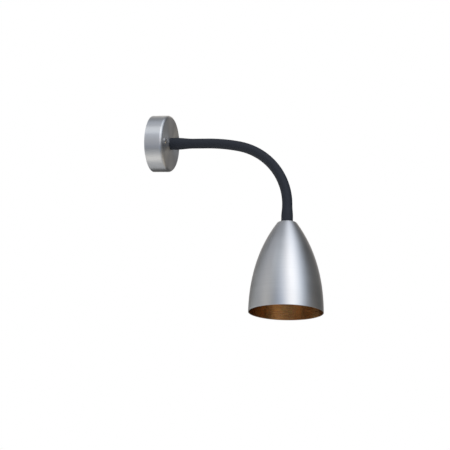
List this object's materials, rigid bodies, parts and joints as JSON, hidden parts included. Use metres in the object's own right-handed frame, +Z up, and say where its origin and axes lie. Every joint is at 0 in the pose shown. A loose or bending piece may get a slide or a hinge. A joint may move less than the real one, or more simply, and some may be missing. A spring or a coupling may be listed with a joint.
{
  "type": "gooseneck wall sconce",
  "caption": "Wall light with a round canopy, a bendable sleeved gooseneck and a bell-shaped spun shade over a twist-lock lamp.",
  "frame": {"origin": "centre of the wall bracket's back, on the wall", "axes": "+Y into the wall, +Z up, the arm leaves towards -Y"},
  "size_m": [0.0866, 0.2285, 0.2458],
  "materials": {
    "spun_aluminium": "brushed round the axis, matt gold lacquer inside the shade",
    "zinc_steel": "zinc plated",
    "screw_steel": "polished stainless",
    "brass": "turned",
    "coil_steel": "wound spring steel",
    "sleeve_fabric": "matt blue-black sleeve",
    "grommet_rubber": "matt",
    "block_plastic": "matt",
    "bush_plastic": "matt",
    "wire_brown": "smooth insulation",
    "wire_blue": "smooth insulation",
    "wire_earth": "green insulation with a yellow stripe",
    "wire_heatproof": "heatproof insulation",
    "holder_ceramic": "unglazed",
    "lamp_white": "satin",
    "lamp_lens": "frosted"
  },
  "bodies": {
    "wall_mount": {"block_screws": "zinc_steel", "bracket_pillars": "zinc_steel", "cable_grommet": "grommet_rubber", "canopy": "spun_aluminium", "canopy_nut": "zinc_steel", "canopy_screws": "screw_steel", "coil_section_01": "coil_steel", "earth_screw": "zinc_steel", "earth_tag": "brass", "earth_washer": "zinc_steel", "earth_wire": "wire_earth", "live_wire": "wire_brown", "neutral_wire": "wire_blue", "nipple_bush": "bush_plastic", "sleeve_section_01": "sleeve_fabric", "terminal_block": "block_plastic", "terminal_inserts": "brass", "terminal_screws": "brass", "wall_bracket": "zinc_steel", "wall_ferrule": "brass"},
    "neck_link_01": {"coil_section_02": "coil_steel", "sleeve_section_02": "sleeve_fabric"},
    "neck_link_02": {"coil_section_03": "coil_steel", "sleeve_section_03": "sleeve_fabric"},
    "neck_link_03": {"coil_section_04": "coil_steel", "sleeve_section_04": "sleeve_fabric"},
    "neck_link_04": {"coil_section_05": "coil_steel", "sleeve_section_05": "sleeve_fabric"},
    "neck_link_05": {"coil_section_06": "coil_steel", "sleeve_section_06": "sleeve_fabric"},
    "neck_link_06": {"coil_section_07": "coil_steel", "sleeve_section_07": "sleeve_fabric"},
    "neck_link_07": {"coil_section_08": "coil_steel", "sleeve_section_08": "sleeve_fabric"},
    "neck_link_08": {"coil_section_09": "coil_steel", "sleeve_section_09": "sleeve_fabric"},
    "neck_link_09": {"coil_section_10": "coil_steel", "sleeve_section_10": "sleeve_fabric"},
    "neck_link_10": {"coil_section_11": "coil_steel", "sleeve_section_11": "sleeve_fabric"},
    "neck_link_11": {"coil_section_12": "coil_steel", "sleeve_section_12": "sleeve_fabric"},
    "shade_head": {"shade_ferrule": "brass", "shade": "spun_aluminium", "shade_washer": "zinc_steel", "shade_nut": "zinc_steel", "lampholder_strap": "zinc_steel", "lampholder": "holder_ceramic", "strap_screws": "zinc_steel", "lampholder_contacts": "brass", "lampholder_wires": "wire_heatproof", "coil_section_13": "coil_steel", "sleeve_section_13": "sleeve_fabric"},
    "lamp": {"lamp_base": "lamp_white", "lamp_housing": "lamp_white", "lamp_lens": "lamp_lens", "lamp_pins": "brass"}
  },
  "joints": [
    {"name": "wall_half_bend", "type": "hinge", "parent": "wall_mount", "child": "neck_link_01", "pos_m": [0, -0.0473, 0], "axis": [1, 0, 0], "range_deg": [-12, 4], "deforming": ["sleeve_section_01", "sleeve_section_02"]},
    {"name": "wall_half_swing", "type": "hinge", "parent": "neck_link_01", "child": "neck_link_02", "pos_m": [0, -0.06282, 0], "axis": [0, 0, 1], "range_deg": [-15, 15], "deforming": ["sleeve_section_02", "sleeve_section_03"]},
    {"name": "wall_half_bend_2", "type": "hinge", "parent": "neck_link_02", "child": "neck_link_03", "pos_m": [0, -0.07834, -0.00017], "axis": [1, 0, 0], "range_deg": [-12, 4], "deforming": ["sleeve_section_03", "sleeve_section_04"]},
    {"name": "wall_half_bend_3", "type": "hinge", "parent": "neck_link_03", "child": "neck_link_04", "pos_m": [0, -0.09382, -0.00138], "axis": [1, 0, 0], "range_deg": [-12, 4], "deforming": ["sleeve_section_04", "sleeve_section_05"]},
    {"name": "wall_half_swing_2", "type": "hinge", "parent": "neck_link_04", "child": "neck_link_05", "pos_m": [0, -0.10916, -0.00372], "axis": [0, -0.1874, 0.9823], "range_deg": [-15, 15], "deforming": ["sleeve_section_05", "sleeve_section_06"]},
    {"name": "wall_half_bend_4", "type": "hinge", "parent": "neck_link_05", "child": "neck_link_06", "pos_m": [0, -0.12409, -0.00789], "axis": [1, 0, 0], "range_deg": [-12, 4], "deforming": ["sleeve_section_06", "sleeve_section_07"]},
    {"name": "shade_half_bend", "type": "hinge", "parent": "neck_link_06", "child": "neck_link_07", "pos_m": [0, -0.13798, -0.01477], "axis": [1, 0, 0], "range_deg": [-32, 4], "deforming": ["sleeve_section_07", "sleeve_section_08"]},
    {"name": "shade_half_swing", "type": "hinge", "parent": "neck_link_07", "child": "neck_link_08", "pos_m": [0, -0.15033, -0.02413], "axis": [0, -0.676, 0.7369], "range_deg": [-15, 15], "deforming": ["sleeve_section_08", "sleeve_section_09"]},
    {"name": "shade_half_bend_2", "type": "hinge", "parent": "neck_link_08", "child": "neck_link_09", "pos_m": [0, -0.16072, -0.03564], "axis": [1, 0, 0], "range_deg": [-32, 4], "deforming": ["sleeve_section_09", "sleeve_section_10"]},
    {"name": "shade_half_bend_3", "type": "hinge", "parent": "neck_link_09", "child": "neck_link_10", "pos_m": [0, -0.16877, -0.04888], "axis": [1, 0, 0], "range_deg": [-32, 4], "deforming": ["sleeve_section_10", "sleeve_section_11"]},
    {"name": "shade_half_swing_2", "type": "hinge", "parent": "neck_link_10", "child": "neck_link_11", "pos_m": [0, -0.17421, -0.0634], "axis": [0, -0.9654, 0.2609], "range_deg": [-15, 15], "deforming": ["sleeve_section_11", "sleeve_section_12"]},
    {"name": "shade_half_bend_4", "type": "hinge", "parent": "neck_link_11", "child": "shade_head", "pos_m": [0, -0.17676, -0.07869], "axis": [1, 0, 0], "range_deg": [-32, 4], "deforming": ["sleeve_section_12", "sleeve_section_13"]},
    {"name": "lamp_twist", "type": "hinge", "parent": "shade_head", "child": "lamp", "pos_m": [0, -0.18033, -0.13237], "axis": [0, -0.0663, -0.9978], "range_deg": [0, 25]}
  ],
  "couplings": [
    {"joint": "wall_half_bend_2", "follows": "wall_half_bend", "ratio": 1},
    {"joint": "wall_half_bend_3", "follows": "wall_half_bend", "ratio": 1},
    {"joint": "wall_half_swing_2", "follows": "wall_half_swing", "ratio": 1},
    {"joint": "wall_half_bend_4", "follows": "wall_half_bend", "ratio": 1},
    {"joint": "shade_half_bend_2", "follows": "shade_half_bend", "ratio": 1},
    {"joint": "shade_half_bend_3", "follows": "shade_half_bend", "ratio": 1},
    {"joint": "shade_half_swing_2", "follows": "shade_half_swing", "ratio": 1},
    {"joint": "shade_half_bend_4", "follows": "shade_half_bend", "ratio": 1}
  ]
}
